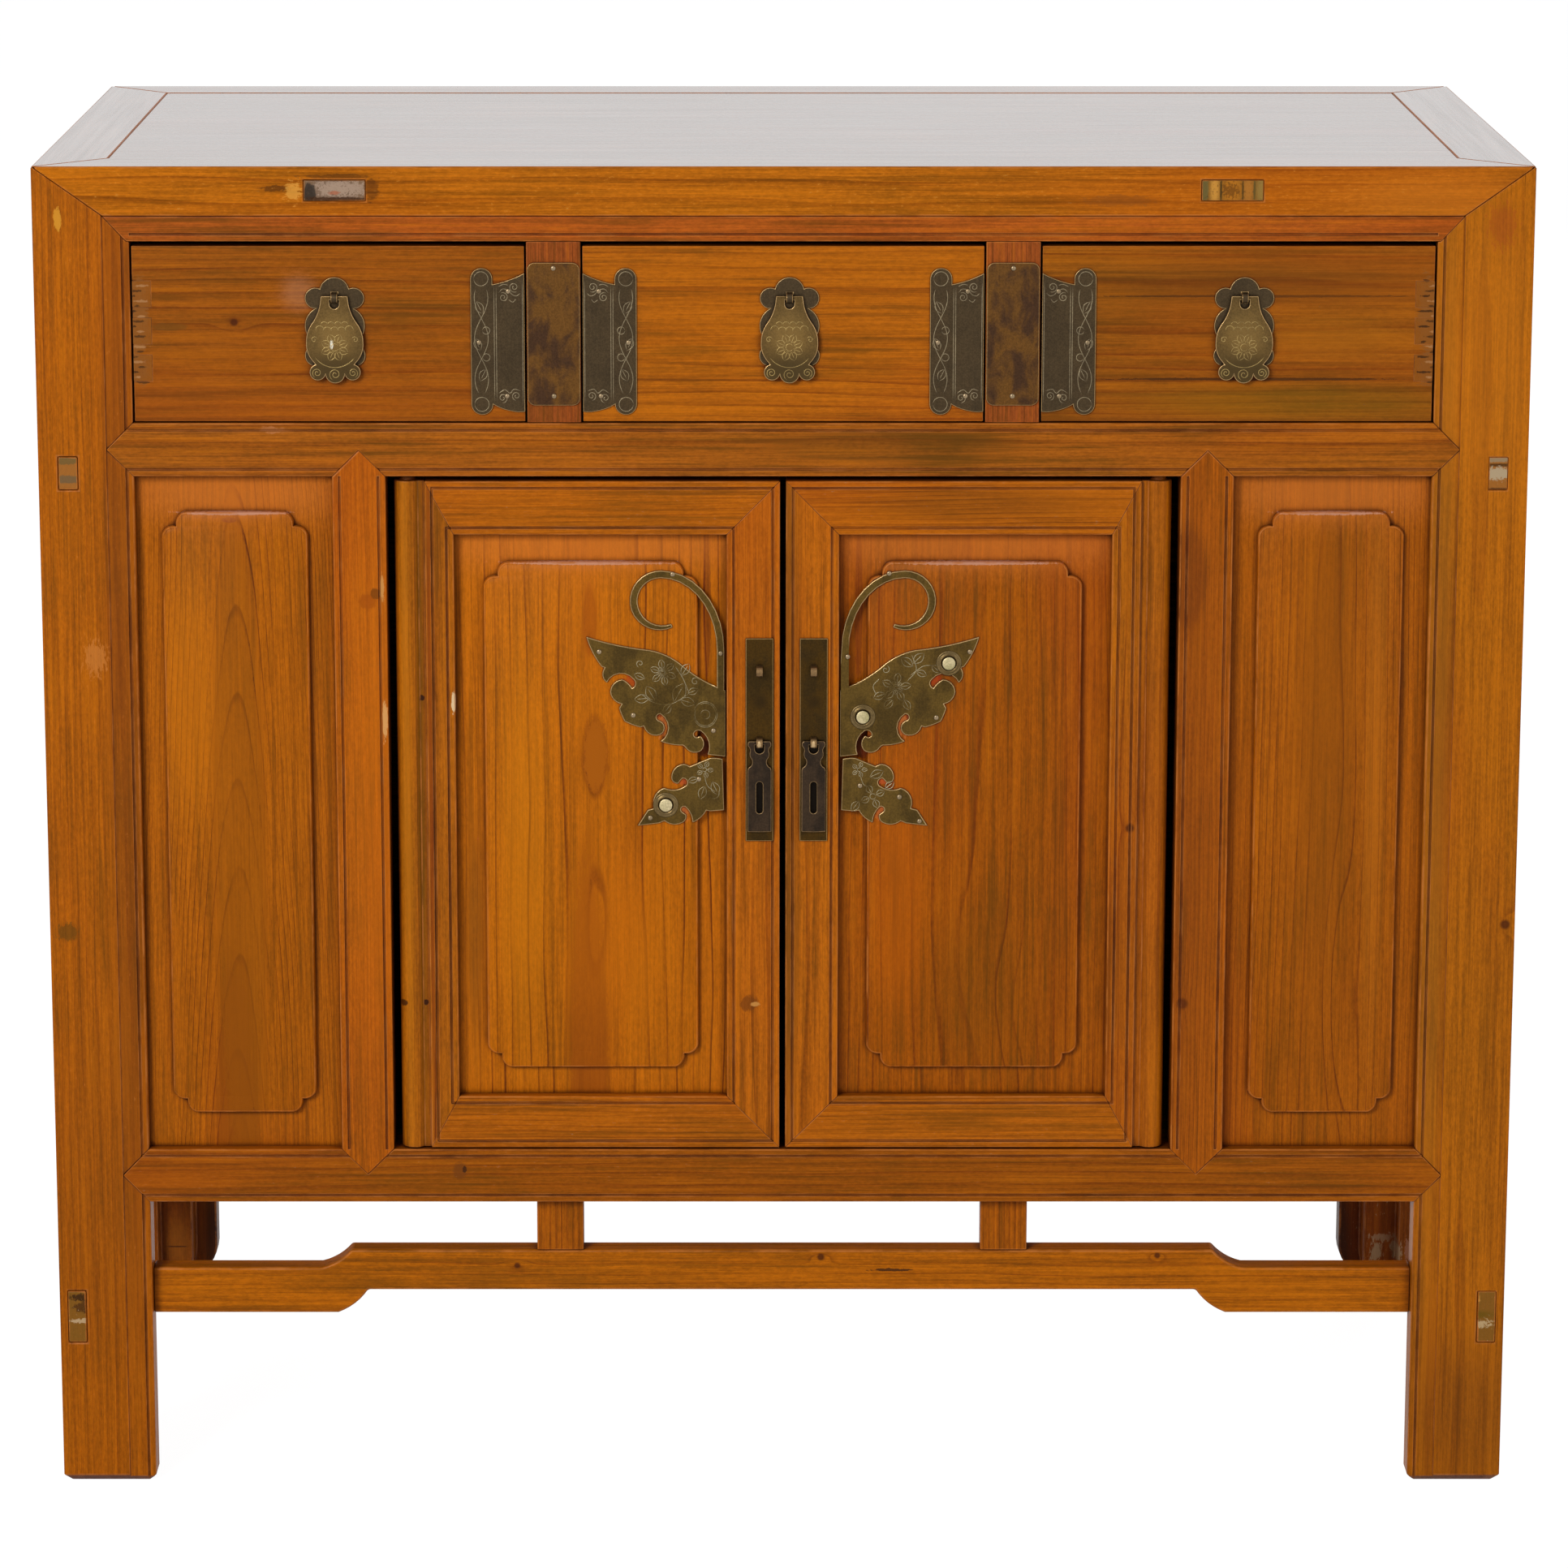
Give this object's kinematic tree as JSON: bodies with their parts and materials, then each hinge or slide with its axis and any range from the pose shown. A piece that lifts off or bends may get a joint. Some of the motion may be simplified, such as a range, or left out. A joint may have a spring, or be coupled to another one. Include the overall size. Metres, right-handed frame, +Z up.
{
  "type": "side cabinet",
  "caption": "Lacquered softwood side cabinet with drawers over panelled doors, pierced butterfly brass mounts, hanging pulls and a hump-backed stretcher.",
  "frame": {"origin": "on the floor, under the middle of the whole piece with its brass fittings", "axes": "+Z up, the drawers and doors face -Y, +X to the right when looking at the front"},
  "size_m": [0.965, 0.4876, 0.888],
  "materials": {
    "lacquer": "honey-brown clear lacquer over figured softwood",
    "red_lacquer": "reddish worn lacquer over softwood",
    "bare_wood": "unfinished softwood",
    "brass": "dark aged brass plate with bright edges",
    "worn_brass": "aged brass, rubbed lighter by the hand"
  },
  "bodies": {
    "case": {"post_front_left": "lacquer", "post_front_right": "lacquer", "post_rear_left": "lacquer", "post_rear_right": "lacquer", "top_rail_front": "lacquer", "top_rail_rear": "lacquer", "top_end_rails": "lacquer", "top_panel": "lacquer", "top_battens": "bare_wood", "frieze_strip": "red_lacquer", "drawer_rail": "lacquer", "base_rail": "lacquer", "mullions": "lacquer", "front_panel_left": "lacquer", "front_panel_right": "lacquer", "drawer_dividers": "red_lacquer", "divider_plates": "brass", "side_rails": "lacquer", "side_stretchers": "lacquer", "side_panels": "lacquer", "back_rails": "bare_wood", "back_panels": "bare_wood", "floor_boards": "bare_wood", "drawer_runners": "bare_wood", "front_stretcher": "lacquer", "stretcher_struts": "lacquer"},
    "door_left": {"door_left_hinge_stile": "lacquer", "door_left_meeting_stile": "lacquer", "door_left_rails": "lacquer", "door_left_panel": "lacquer", "door_left_lock_plate": "brass", "door_left_butterfly": "brass", "door_left_staples": "worn_brass"},
    "tag_left": {"door_left_pull": "worn_brass"},
    "door_right": {"door_right_hinge_stile": "lacquer", "door_right_meeting_stile": "lacquer", "door_right_rails": "lacquer", "door_right_panel": "lacquer", "door_right_lock_plate": "brass", "door_right_butterfly": "brass", "door_right_staples": "worn_brass"},
    "tag_right": {"door_right_pull": "worn_brass"},
    "drawer_left": {"drawer_left_front": "lacquer", "drawer_left_sides": "bare_wood", "drawer_left_back": "bare_wood", "drawer_left_bottom": "bare_wood", "drawer_left_fittings": "brass"},
    "drop_left": {"drawer_left_pull": "worn_brass"},
    "drawer_middle": {"drawer_middle_front": "lacquer", "drawer_middle_sides": "bare_wood", "drawer_middle_back": "bare_wood", "drawer_middle_bottom": "bare_wood", "drawer_middle_fittings": "brass"},
    "drop_middle": {"drawer_middle_pull": "worn_brass"},
    "drawer_right": {"drawer_right_front": "lacquer", "drawer_right_sides": "bare_wood", "drawer_right_back": "bare_wood", "drawer_right_bottom": "bare_wood", "drawer_right_fittings": "brass"},
    "drop_right": {"drawer_right_pull": "worn_brass"}
  },
  "joints": [
    {"name": "door_left_hinge", "type": "hinge", "parent": "case", "child": "door_left", "pos_m": [-0.24385, -0.22645, 0.4585], "axis": [0, 0, -1], "range_deg": [0, 105]},
    {"name": "door_left_pull_swing", "type": "hinge", "parent": "door_left", "child": "tag_left", "pos_m": [-0.0152, -0.23855, 0.5101], "axis": [-1, 0, 0], "range_deg": [0, 80]},
    {"name": "door_right_hinge", "type": "hinge", "parent": "case", "child": "door_right", "pos_m": [0.24385, -0.22645, 0.4585], "axis": [0, 0, 1], "range_deg": [0, 105]},
    {"name": "door_right_pull_swing", "type": "hinge", "parent": "door_right", "child": "tag_right", "pos_m": [0.0202, -0.23855, 0.5101], "axis": [-1, 0, 0], "range_deg": [0, 80]},
    {"name": "drawer_left_slide", "type": "slide", "parent": "case", "child": "drawer_left", "axis": [0, -1, 0], "range_m": [0, 0.3]},
    {"name": "drawer_left_pull_swing", "type": "hinge", "parent": "drawer_left", "child": "drop_left", "pos_m": [-0.289, -0.23755, 0.8033], "axis": [-1, 0, 0], "range_deg": [0, 80]},
    {"name": "drawer_middle_slide", "type": "slide", "parent": "case", "child": "drawer_middle", "axis": [0, -1, 0], "range_m": [0, 0.3]},
    {"name": "drawer_middle_pull_swing", "type": "hinge", "parent": "drawer_middle", "child": "drop_middle", "pos_m": [0.004, -0.23755, 0.8033], "axis": [-1, 0, 0], "range_deg": [0, 80]},
    {"name": "drawer_right_slide", "type": "slide", "parent": "case", "child": "drawer_right", "axis": [0, -1, 0], "range_m": [0, 0.3]},
    {"name": "drawer_right_pull_swing", "type": "hinge", "parent": "drawer_right", "child": "drop_right", "pos_m": [0.297, -0.23755, 0.8033], "axis": [-1, 0, 0], "range_deg": [0, 80]}
  ]
}
